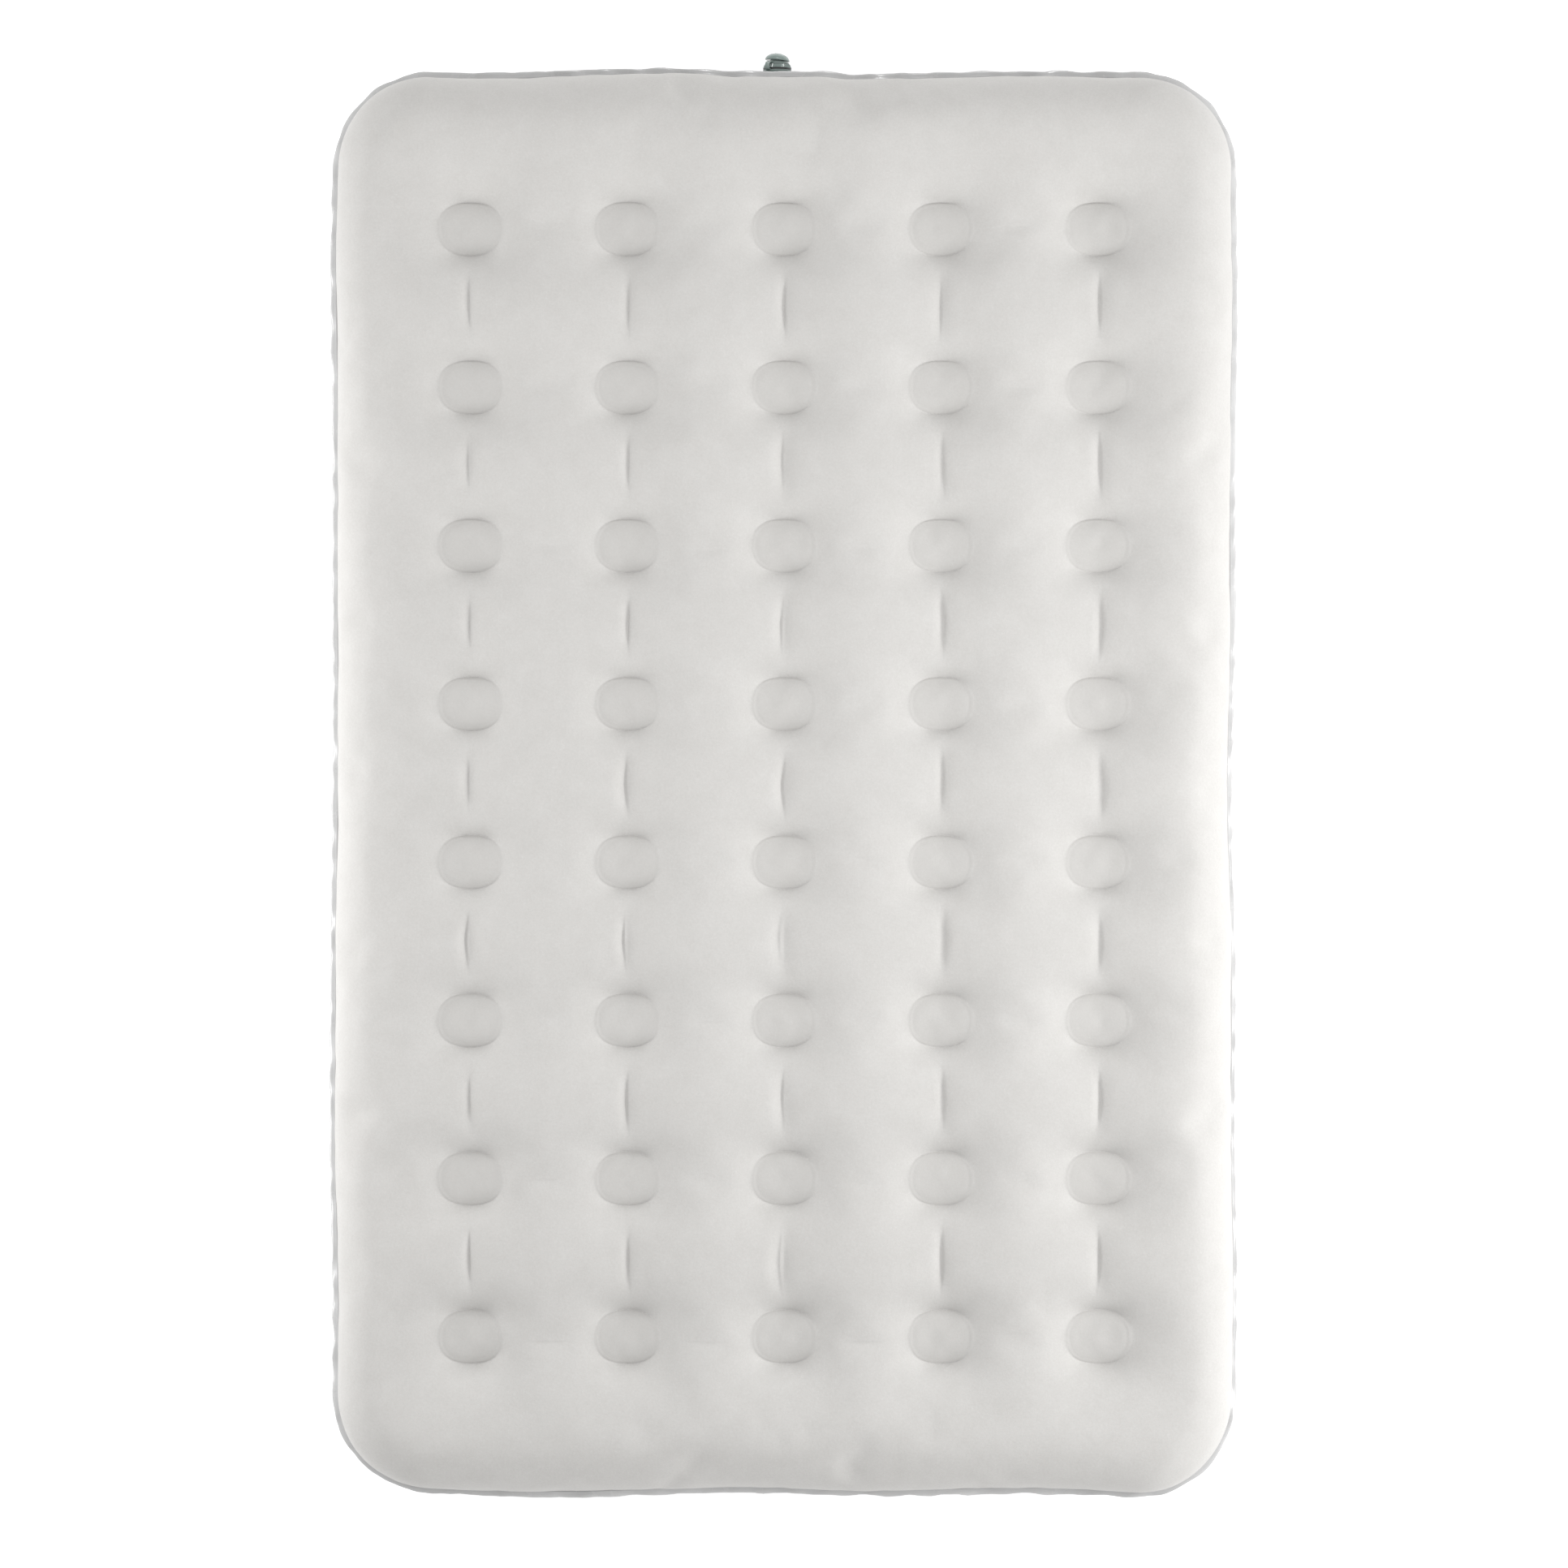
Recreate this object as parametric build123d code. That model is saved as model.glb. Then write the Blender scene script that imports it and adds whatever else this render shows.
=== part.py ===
"""Double camping air mattress: flocked top sheet, side wall, bottom sheet, coil tubes and valve.

Frame: origin at the centre of the underside, +Z up, +Y towards the head end, where the valve is.
All sizes are in millimetres.
"""
from build123d import *
from math import cos, pi, sin
import os

os.makedirs("parts", exist_ok=True)

# ---- driving dimensions of the inflated mattress ----
LENGTH = 1890.0            # over the weld fins
WIDTH = 1200.0
HEIGHT = 170.0
FIN_WIDTH = 9.0            # upper weld fin, beyond the skin
LOWER_FIN_WIDTH = 6.0
FIN_THICK = 1.2
SKIN = 2.0                 # stands in for the 0.4 mm sheet
CORNER_RADIUS = 134.0      # plan corner, at the fin's edge
TOP_EDGE_RADIUS = 62.0
BOTTOM_EDGE_RADIUS = 38.0
UPPER_SEAM_Z = 105.0
LOWER_SEAM_Z = 40.0

# ---- coil tubes: 5 across, 8 along ----
COLUMNS = 5
ROWS = 8
COLUMN_PITCH = 206.5
ROW_PITCH = 208.5
ISLAND_X = 85.0            # oval weld island on the sleeping surface
ISLAND_Y = 71.0
DISH_GROWTH = 60.0         # how much wider the dish is at its mouth
TOP_DISH_DEPTH = 29.0
BOTTOM_DISH_DEPTH = 12.0
COIL_X = 74.0
COIL_Y = 60.0
COIL_WALL = 1.2
COIL_FLANGE = 1.2
VENT_RADIUS = 5.0

# ---- valve: w is the distance outwards from the end wall's outer face ----
VALVE_X = -9.0
VALVE_Z = (UPPER_SEAM_Z + LOWER_SEAM_Z) / 2
FLANGE_RADIUS = 28.0
FLANGE_THICK = 1.6
PATCH_RADIUS = 31.0
PATCH_THICK = 1.0
NECK_RADIUS = 19.5
NECK_BORE = 16.6
NECK_INNER_W = -16.0
NECK_OUTER_W = 10.9
TETHER_RING_W = (11.2, 12.4)
TETHER_RING_RADIUS = 19.0
GASKET_W = (12.4, 15.0)
GASKET_RADIUS = 18.8
RING_BORE = 15.4
THREAD_PITCH = 4.0
THREAD_TURNS = 2.25
THREAD_START_W = -7.5
THREAD_ROOT_WIDTH = 1.5
THREAD_CREST_WIDTH = 0.8
INSERT_THREAD = (14.7, 16.2)      # root and crest radius
NECK_THREAD = (16.7, 15.1)
RIM_W = (15.0, 19.8)
RIM_RADII = (19.2, 17.2)          # next to the gasket, and at its outer end
RIDGE_DEPTH = 0.5
RIDGE_COUNT = 48
SHANK_RADIUS = 14.8
SHANK_INNER_W = -11.5
PLUG_BORE = 9.6
CHAMBER_RADIUS = 12.5
CHAMBER_TOP_W = 8.5
SEAT_W = (-8.5, -6.5)
PORT_COUNT = 6
PORT_RADIUS = 2.6
PORT_CIRCLE = 7.6
HUB_BORE = 1.6
FLAP_RADIUS = 11.2
FLAP_THICK = 1.0
FLAP_GAP = 0.1
STEM_RADIUS = 1.5
KNOB_RADIUS = 2.6
KNOB_W = (-4.4, -2.0)
PLUG_RADIUS = 9.3
PLUG_WALL = 2.3
PLUG_W = (11.0, 20.5)
SEAL_RADIUS = 16.4
SEAL_W = (19.8, 20.5)
LIP_RADIUS = 15.8
LIP_W = (20.5, 22.0)
CAP_NECK_RADIUS = 9.6
DOME_W = 25.4
DOME_RADIUS = 16.4
DOME_HEIGHT = 10.1
DOME_EDGE = 0.9
DOME_TILT = 6.0            # the soft cap sits a little crooked
EYE_W = (22.2, 23.4)
EYE_BORE = 10.3
EYE_RADIUS = 13.6
STRAP_WIDTH = 6.5
STRAP_THICK = 1.2
STRAP_ANGLE = 35.0         # turned from straight up towards -X

# ---- sizes that follow ----
SKIN_WIDTH = WIDTH - 2 * FIN_WIDTH
SKIN_LENGTH = LENGTH - 2 * FIN_WIDTH
SKIN_CORNER = CORNER_RADIUS - FIN_WIDTH
WALL_Y = SKIN_LENGTH / 2
TOP_ISLAND_Z = HEIGHT - TOP_DISH_DEPTH


def rounded_slab(grow, z_low, z_high):
    """Rounded rectangle of the skin's outline, grown all round, between two heights."""
    outline = RectangleRounded(SKIN_WIDTH + 2 * grow, SKIN_LENGTH + 2 * grow, SKIN_CORNER + grow)
    return Pos(0, 0, z_low) * extrude(outline, z_high - z_low)


def envelope(inset):
    """The inflated body, inset all round: rounded in plan and along its top and bottom edges."""
    body = rounded_slab(-inset, inset, HEIGHT - inset)
    body = fillet(body.faces().sort_by(Axis.Z)[-1].edges(), TOP_EDGE_RADIUS - inset)
    return fillet(body.faces().sort_by(Axis.Z)[0].edges(), BOTTOM_EDGE_RADIUS - inset)


def coil_places():
    """Row, column and centre of every coil tube, from the head end's left corner."""
    for row in range(ROWS):
        for column in range(COLUMNS):
            x = (column - (COLUMNS - 1) / 2) * COLUMN_PITCH
            y = ((ROWS - 1) / 2 - row) * ROW_PITCH
            yield row + 1, column + 1, x, y


def dish(mouth_z, floor_z, grow):
    """Oval tapered recess, grown all round, from its mouth to its floor."""
    direction = 1 if floor_z > mouth_z else -1
    mouth = Ellipse((ISLAND_X + DISH_GROWTH) / 2 + grow, (ISLAND_Y + DISH_GROWTH) / 2 + grow)
    floor = Ellipse(ISLAND_X / 2 + grow, ISLAND_Y / 2 + grow)
    return loft([Pos(0, 0, mouth_z) * mouth, Pos(0, 0, floor_z + direction * grow) * floor])


def dished(body, mouth_z, floor_z, grow):
    """A body with a dish cut at every coil tube."""
    tool = dish(mouth_z, floor_z, grow)
    return body - [Pos(x, y, 0) * tool for _, _, x, y in coil_places()]


def skin_sheet(mouth_z, floor_z, keep):
    """One dished sheet: the envelope's wall inside the slab that is kept."""
    outer = dished(envelope(0) & keep, mouth_z, floor_z, 0)
    inner = dished(envelope(SKIN), mouth_z, floor_z, SKIN)
    return outer - inner


def top_sheet():
    keep = rounded_slab(1, UPPER_SEAM_Z + FIN_THICK / 2, HEIGHT + 1)
    return skin_sheet(HEIGHT, TOP_ISLAND_Z, keep)


def bottom_sheet():
    keep = rounded_slab(1, -1, LOWER_SEAM_Z - FIN_THICK / 2)
    return skin_sheet(0, BOTTOM_DISH_DEPTH, keep)


def side_wall():
    """Straight band between the two weld fins, with the valve's hole."""
    low = LOWER_SEAM_Z + FIN_THICK / 2
    high = UPPER_SEAM_Z - FIN_THICK / 2
    band = rounded_slab(0, low, high) - rounded_slab(-SKIN, low, high)
    return band - at_valve(ring(0, NECK_RADIUS, -2 * SKIN, SKIN))


def weld_fin(seam_z, width):
    """Flat lip where two sheets are welded together, all round the skin."""
    low = seam_z - FIN_THICK / 2
    high = seam_z + FIN_THICK / 2
    return rounded_slab(width, low, high) - rounded_slab(-SKIN, low, high)


def wall_join_tape():
    """Tape inside the foot wall, behind the lap where the band's two ends meet."""
    tape_width = 24.0
    tape_height = UPPER_SEAM_Z - LOWER_SEAM_Z - 3 * FIN_THICK
    y = -WALL_Y + SKIN + PATCH_THICK / 2
    return Pos(0, y, VALVE_Z) * Box(tape_width, PATCH_THICK, tape_height)


def coil_tube():
    """Oval tube with a weld flange at each end and two vent holes, centred on the Z axis."""
    low = BOTTOM_DISH_DEPTH + SKIN
    high = TOP_ISLAND_Z - SKIN
    outside = Pos(0, 0, low) * extrude(Ellipse(COIL_X / 2, COIL_Y / 2), high - low)
    flange = extrude(Ellipse(ISLAND_X / 2, ISLAND_Y / 2), COIL_FLANGE)
    inside = Ellipse(COIL_X / 2 - COIL_WALL, COIL_Y / 2 - COIL_WALL)
    bore = Pos(0, 0, low) * extrude(inside, high - low)
    vents = Pos(0, 0, (low + high) / 2) * Rot(0, 90, 0) * Cylinder(VENT_RADIUS, ISLAND_X)
    return outside + Pos(0, 0, low) * flange + Pos(0, 0, high - COIL_FLANGE) * flange - bore - vents


# ---- valve, drawn along +Z and then turned to point out of the head end ----
def at_valve(shape):
    """Places a shape drawn along +Z, so that its w axis leaves the end wall."""
    return Pos(VALVE_X, WALL_Y, VALVE_Z) * Rot(-90, 0, 0) * shape


def ring(inner_radius, outer_radius, w_low, w_high):
    section = Circle(outer_radius)
    if inner_radius:
        section -= Circle(inner_radius)
    return Pos(0, 0, w_low) * extrude(section, w_high - w_low)


def thread(root_radius, crest_radius, start_w):
    """One helical ridge, from its root radius to its crest radius."""
    path = Pos(0, 0, start_w) * Helix(THREAD_PITCH, THREAD_PITCH * THREAD_TURNS, root_radius)
    half_root = THREAD_ROOT_WIDTH / 2
    half_crest = THREAD_CREST_WIDTH / 2
    height = crest_radius - root_radius
    corners = [(0, -half_root), (height, -half_crest), (height, half_crest), (0, half_root)]
    plane = Plane(origin=(root_radius, 0, start_w), x_dir=(1, 0, 0), z_dir=(0, -1, 0))
    return sweep(plane * make_face(Polyline(corners, close=True)), path=path, is_frenet=True)


def valve_neck():
    """Welded flange and threaded socket."""
    flange = ring(NECK_RADIUS - 1, FLANGE_RADIUS, 0, FLANGE_THICK)
    flange = fillet(flange.edges().group_by(Axis.Z)[-1].sort_by(SortBy.RADIUS)[-1], FLANGE_THICK / 2)
    socket = ring(NECK_BORE, NECK_RADIUS, NECK_INNER_W, NECK_OUTER_W)
    ridge = thread(*NECK_THREAD, THREAD_START_W + THREAD_PITCH / 2)
    return flange + socket + ridge


def valve_patch():
    return ring(NECK_RADIUS, PATCH_RADIUS, -SKIN - PATCH_THICK, -SKIN)


def ridged_outline(outer_radius):
    corners = []
    for i in range(2 * RIDGE_COUNT):
        radius = outer_radius - (i % 2) * RIDGE_DEPTH
        angle = pi * i / RIDGE_COUNT
        corners.append((radius * cos(angle), radius * sin(angle)))
    return make_face(Polyline(corners, close=True))


def ridged_rim():
    """Tapered grip ring with fine ridges along the valve's axis."""
    sections = [Pos(0, 0, w) * ridged_outline(radius) for w, radius in zip(RIM_W, RIM_RADII)]
    return loft(sections, ruled=True)


def valve_insert():
    """Screw-in body: ridged rim, threaded shank, plug bore and the seat with its ports."""
    body = ridged_rim() + ring(0, SHANK_RADIUS, SHANK_INNER_W, RIM_W[0])
    body -= ring(0, PLUG_BORE, CHAMBER_TOP_W, RIM_W[1])
    body -= ring(0, CHAMBER_RADIUS, SEAT_W[1], CHAMBER_TOP_W)
    body -= ring(0, CHAMBER_RADIUS, SHANK_INNER_W, SEAT_W[0])
    body -= ring(0, HUB_BORE, *SEAT_W)
    port = Pos(PORT_CIRCLE, 0, 0) * ring(0, PORT_RADIUS, *SEAT_W)
    body -= [Rot(0, 0, 360 * i / PORT_COUNT) * port for i in range(PORT_COUNT)]
    return body + thread(*INSERT_THREAD, THREAD_START_W)


def check_flap():
    """Silicone flap with its stem and the knob that holds it in the hub."""
    flap_top = SEAT_W[0] - FLAP_GAP
    flap = ring(0, FLAP_RADIUS, flap_top - FLAP_THICK, flap_top)
    stem = ring(0, STEM_RADIUS, flap_top, KNOB_W[0])
    knob = ring(0, KNOB_RADIUS, *KNOB_W)
    knob = fillet(knob.edges().group_by(Axis.Z)[-1], KNOB_RADIUS / 2)
    return flap + stem + knob


def cap_seal():
    """Flat washer between the cap's lip and the rim."""
    return ring(PLUG_BORE, SEAL_RADIUS, *SEAL_W)


def valve_cap():
    """Domed pull cap: hollow plug, lip, waist for the tether's eye, and the dome."""
    plug = ring(PLUG_RADIUS - PLUG_WALL, PLUG_RADIUS, *PLUG_W)
    lip = ring(0, LIP_RADIUS, *LIP_W)
    waist = ring(0, CAP_NECK_RADIUS, LIP_W[1], DOME_W + DOME_EDGE)
    quarter = Ellipse(DOME_RADIUS, DOME_HEIGHT) & Pos(DOME_RADIUS, DOME_HEIGHT) * Rectangle(
        2 * DOME_RADIUS, 2 * DOME_HEIGHT
    )
    dome = revolve(Rot(90, 0, 0) * quarter, Axis.Z)
    dome = fillet(dome.edges().sort_by(Axis.Z)[0], DOME_EDGE)
    crooked_dome = Pos(0, 0, DOME_W) * Rot(0, DOME_TILT, 0) * dome
    return plug + lip + waist + crooked_dome


def tether_strap():
    """Flexible strap from the ring under the rim to the eye under the dome."""
    middle_w = sum(TETHER_RING_W) / 2
    eye_w = sum(EYE_W) / 2
    bulge = RIM_RADII[0] + 2.4
    route = FilletPolyline(
        (RING_BORE + 2, middle_w),
        (bulge, middle_w),
        (bulge, eye_w),
        (EYE_BORE + 1, eye_w),
        radius=3.0,
    )
    band = trace(route, STRAP_THICK)
    strap = Pos(0, STRAP_WIDTH / 2, 0) * Rot(90, 0, 0) * extrude(band, STRAP_WIDTH)
    strap -= ring(0, TETHER_RING_RADIUS, *TETHER_RING_W)
    strap -= ring(0, TETHER_RING_RADIUS, TETHER_RING_W[1], RIM_W[1])
    strap -= ring(0, TETHER_RING_RADIUS, 0, TETHER_RING_W[0])
    strap -= ring(0, EYE_RADIUS, LIP_W[1], DOME_W)
    return Rot(0, 0, -90 - STRAP_ANGLE) * strap


PIECES = {
    "top_sheet": top_sheet(),
    "side_wall": side_wall(),
    "bottom_sheet": bottom_sheet(),
    "upper_weld_seam": weld_fin(UPPER_SEAM_Z, FIN_WIDTH),
    "lower_weld_seam": weld_fin(LOWER_SEAM_Z, LOWER_FIN_WIDTH),
    "wall_join_tape": wall_join_tape(),
    "valve_patch": at_valve(valve_patch()),
    "valve_neck": at_valve(valve_neck()),
    "insert_gasket": at_valve(ring(RING_BORE, GASKET_RADIUS, *GASKET_W)),
    "tether_ring": at_valve(ring(RING_BORE, TETHER_RING_RADIUS, *TETHER_RING_W)),
    "tether_strap": at_valve(tether_strap()),
    "tether_eye": at_valve(ring(EYE_BORE, EYE_RADIUS, *EYE_W)),
    "valve_insert": at_valve(valve_insert()),
    "check_flap": at_valve(check_flap()),
    "valve_cap": at_valve(valve_cap()),
    "cap_seal": at_valve(cap_seal()),
}

tube = coil_tube()
for row, column, x, y in coil_places():
    PIECES[f"coil_tube_r{row}_c{column}"] = Pos(x, y, 0) * tube

for name, shape in PIECES.items():
    export_step(shape, f"parts/{name}.step")
    print(name, len(shape.solids()), round(shape.volume, 1))
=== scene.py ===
"""Inflated camping air mattress: the soft skin, its weld fins and materials, around the CAD frame."""

from math import cos, pi, radians, sin

import bmesh
import bpy
import numpy as np
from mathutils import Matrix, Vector


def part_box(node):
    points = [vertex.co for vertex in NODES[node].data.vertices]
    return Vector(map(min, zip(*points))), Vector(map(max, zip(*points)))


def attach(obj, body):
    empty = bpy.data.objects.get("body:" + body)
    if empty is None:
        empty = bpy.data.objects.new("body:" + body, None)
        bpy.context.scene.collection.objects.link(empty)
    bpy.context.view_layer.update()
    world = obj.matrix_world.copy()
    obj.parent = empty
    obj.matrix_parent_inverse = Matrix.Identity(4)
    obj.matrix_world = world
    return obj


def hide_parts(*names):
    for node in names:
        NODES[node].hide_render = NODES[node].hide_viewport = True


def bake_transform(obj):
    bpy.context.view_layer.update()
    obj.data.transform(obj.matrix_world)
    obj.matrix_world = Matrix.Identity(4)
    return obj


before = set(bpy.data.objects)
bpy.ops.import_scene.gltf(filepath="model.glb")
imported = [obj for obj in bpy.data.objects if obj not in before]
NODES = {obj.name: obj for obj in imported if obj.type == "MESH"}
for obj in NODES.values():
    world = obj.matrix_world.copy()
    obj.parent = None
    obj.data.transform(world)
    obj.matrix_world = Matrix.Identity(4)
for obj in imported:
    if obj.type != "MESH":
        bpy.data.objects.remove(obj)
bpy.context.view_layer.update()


def middle_of(node):
    """Centre of a CAD node's box."""
    low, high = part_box(node)
    return [(a + b) / 2 for a, b in zip(low, high)]


def half_size_of(node):
    """Half the size of a CAD node's box: the radius of a round node, across its axis."""
    low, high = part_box(node)
    return [(b - a) / 2 for a, b in zip(low, high)]


# ---- sizes read from the frame, in metres ----
ROWS = 8
COLUMNS = 5
HALF_WIDTH, HALF_LENGTH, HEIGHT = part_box("top_sheet")[1]
FIN_LOW, FIN_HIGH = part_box("upper_weld_seam")
LOWER_FIN_LOW, LOWER_FIN_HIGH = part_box("lower_weld_seam")
FIN_REACH = FIN_HIGH[0] - HALF_WIDTH
LOWER_FIN_REACH = LOWER_FIN_HIGH[0] - HALF_WIDTH
FIRST_ISLAND = middle_of("coil_tube_r1_c1")
PITCH_X = middle_of("coil_tube_r1_c2")[0] - FIRST_ISLAND[0]
PITCH_Y = FIRST_ISLAND[1] - middle_of("coil_tube_r2_c1")[1]
ISLAND_X, ISLAND_Y, _ = half_size_of(f"coil_tube_r{ROWS}_c{COLUMNS}")
VALVE_X, _, VALVE_Z = middle_of("valve_neck")
VALVE_FLANGE_RADIUS = half_size_of("valve_neck")[0]

# ---- shape of the skin, in metres ----
CORNER = 0.125  # radius of the plan's corners, inside the fins
TOP_EDGE = 0.062  # radius of the rounded edge between the upper seam and the top
BASE_EDGE = 0.038
OVAL_POWER = 2.4  # 2 would make the weld islands ellipses
EDGE_SHIFT = 0.0016
SHEET_THICKNESS = 0.0012
SEED = 7


def smooth(t):
    """0 to 1 with level ends."""
    t = np.clip(t, 0, 1)
    return t * t * (3 - 2 * t)


class Waves:
    """A few seeded sine waves: gentle unevenness along a line or over a plane."""

    def __init__(self, seed, count, shortest, longest):
        random = np.random.default_rng(seed)
        length = np.exp(random.uniform(np.log(shortest), np.log(longest), count))
        angle = random.uniform(0, pi, count)
        self.kx = 2 * pi * np.cos(angle) / length
        self.ky = 2 * pi * np.sin(angle) / length
        self.phase = random.uniform(0, 2 * pi, count)
        self.share = np.sqrt(length / longest)
        self.share /= np.sqrt((self.share**2).sum() / 2)

    def __call__(self, x, y):
        total = 0
        for kx, ky, phase, share in zip(self.kx, self.ky, self.phase, self.share):
            total = total + share * np.sin(kx * x + ky * y + phase)
        return total


EDGE_WAVES = Waves(SEED + 5, 6, 0.35, 0.7)


def near_valve(x, y):
    """1 beside the valve, where its flange keeps the wall flat, and 0 away from it."""
    gap = np.abs(x - VALVE_X) / (2 * VALVE_FLANGE_RADIUS)
    return smooth(1.8 - gap) * smooth((y / HALF_LENGTH - 0.7) / 0.2)


def uneven(x, y):
    """Sideways shift of the whole outline: an inflated seam never lies quite straight."""
    near_side = smooth((np.abs(x) / HALF_WIDTH - 0.6) / 0.4)
    near_end = smooth((np.abs(y) / HALF_LENGTH - 0.75) / 0.25) * (1 - near_valve(x, y))
    shift_x = EDGE_SHIFT * EDGE_WAVES(0.3 * np.sign(x), y) * near_side
    shift_y = EDGE_SHIFT * EDGE_WAVES(x, 0.4 * np.sign(y)) * near_end
    return shift_x, shift_y


class Skin:
    """Maps a flat sheet, cut with rounded corners, onto the inflated mattress's top or base."""

    def __init__(self, seam_z, flat_z, edge):
        self.seam_z = seam_z
        self.side = 1 if flat_z > seam_z else -1
        self.rise = abs(flat_z - seam_z)
        self.edge = edge
        self.straight = self.rise - edge
        self.arc = self.straight + edge * pi / 2
        self.extra = self.arc - edge
        self.half_width = HALF_WIDTH + self.extra
        self.half_length = HALF_LENGTH + self.extra
        self.corner = CORNER + self.extra

    def round_corners(self, u, v):
        """Square-cornered coordinates to the sheet's rounded outline."""
        flat_x = self.half_width - self.corner
        flat_y = self.half_length - self.corner
        a = np.clip((np.abs(u) - flat_x) / self.corner, 0, 1)
        b = np.clip((np.abs(v) - flat_y) / self.corner, 0, 1)
        x = np.where(a > 0, flat_x + self.corner * a * np.sqrt(1 - b * b / 2), np.abs(u))
        y = np.where(b > 0, flat_y + self.corner * b * np.sqrt(1 - a * a / 2), np.abs(v))
        return np.sign(u) * x, np.sign(v) * y

    def wrap(self, x, y):
        """Flat sheet to the inflated outline. Gives points, outward normals and distance from the seam."""
        qx = np.abs(x) - (self.half_width - self.corner)
        qy = np.abs(y) - (self.half_length - self.corner)
        corner = (qx > 0) & (qy > 0)
        reach = np.where(corner, np.hypot(np.maximum(qx, 0), np.maximum(qy, 0)), np.maximum(qx, qy))
        out_x = np.where(corner, np.maximum(qx, 0) / np.maximum(reach, 1e-9), qx >= qy) * np.sign(x)
        out_y = np.where(corner, np.maximum(qy, 0) / np.maximum(reach, 1e-9), qx < qy) * np.sign(y)
        away = np.maximum(self.corner - reach, 0)
        turn = np.clip((away - self.straight) / self.edge, 0, pi / 2)
        rounded = away < self.arc
        inset = np.where(rounded, self.edge * (1 - np.cos(turn)), self.edge + away - self.arc)
        climb = np.where(rounded, np.minimum(away, self.straight) + self.edge * np.sin(turn), self.rise)
        shift = away - self.extra - inset
        points = np.stack([x + out_x * shift, y + out_y * shift, self.seam_z + self.side * climb], -1)
        tilt = np.where(rounded, turn, pi / 2)
        normals = np.stack([out_x * np.cos(tilt), out_y * np.cos(tilt), self.side * np.sin(tilt)], -1)
        return points, normals, away


TOP = Skin(FIN_HIGH[2], HEIGHT, TOP_EDGE)
BASE = Skin(LOWER_FIN_LOW[2], 0.0, BASE_EDGE)


def nearest_island(x, y):
    """Offsets from the nearest island's centre, and its column and row."""
    column = np.clip(np.round(x / PITCH_X), -(COLUMNS // 2), COLUMNS // 2)
    row = np.clip(np.round(y / PITCH_Y - 0.5), -ROWS // 2, ROWS // 2 - 1)
    return x - column * PITCH_X, y - (row + 0.5) * PITCH_Y, column, row


def oval_radius(dx, dy):
    """1 on the weld ring, less inside it."""
    return (np.abs(dx / ISLAND_X) ** OVAL_POWER + np.abs(dy / ISLAND_Y) ** OVAL_POWER) ** (1 / OVAL_POWER)


def valley_shape(gap, half, rounding):
    """1 on a valley's line and 0 half a pitch away, with a rounded bottom."""
    soft = np.sqrt(gap**2 + rounding**2) - rounding
    soft_half = np.sqrt(half**2 + rounding**2) - rounding
    return np.clip(1 - soft / soft_half, 0, 1) ** 2


END_FADE = 0.45  # how far the valleys run on past the last islands, in pitches


def broad_drop(x, y, bowl, valley, cross_valley, bowl_width, saddle):
    """How far the coil tubes pull the sheet down: bowls round the islands, valleys between them."""
    dx, dy, _, _ = nearest_island(x, y)
    radius = oval_radius(dx, dy)
    outside = np.maximum(radius - 1, 0) * (ISLAND_X + ISLAND_Y) / 2
    reach = np.maximum(radius, 1)
    # an island is lowest along its two long sides and highest at its two ends, left and right
    along_x = (dx / ISLAND_X / reach) ** 2
    along_y = (dy / ISLAND_Y / reach) ** 2
    island_rise = saddle[0] * along_x + saddle[1] * (1 - along_y**1.3)
    at_end = along_x / (along_x + along_y + 1e-9)
    # 1 on an island, falling to 0 away from it
    fall = np.exp(-((outside / (bowl_width * (1 + 0.10 * at_end))) ** (1.1 + 0.3 * at_end)))
    # valleys run from island to island: deep ones down each column, shallow ones along each row
    row_end = PITCH_Y * (ROWS - 1) / 2
    column_end = PITCH_X * (COLUMNS - 1) / 2
    valley_fade = smooth(1 - (np.abs(y) - row_end) / (END_FADE * PITCH_Y)) * (1 - fall**2)
    cross_fade = smooth(1 - (np.abs(x) - column_end) / (END_FADE * PITCH_X)) * (1 - fall**2)
    # the deep ones are sharper midway between two rows
    mid_gap = smooth((np.abs(dy) / (PITCH_Y / 2) - 0.5) / 0.3)
    rounding = 0.013 - 0.010 * mid_gap
    valleys = valley * valley_shape(dx, PITCH_X / 2, rounding) * valley_fade
    crossings = cross_valley * valley_shape(dy, PITCH_Y / 2, 0.02) * cross_fade
    return np.sqrt(((bowl - island_rise) * fall) ** 2 + valleys**2 + crossings**2)


# ---- the wrinkles between the islands ----
GENTLE_SLOPE = 2.2  # a wrinkle's left slope, in its widths
STEEP_SLOPE = 0.62  # its right slope
LIP_PLACE = 4.2
LIP_WIDTH = 2.0
LIP_SHARE = 0.25  # height of the lip as a share of the depth


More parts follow.
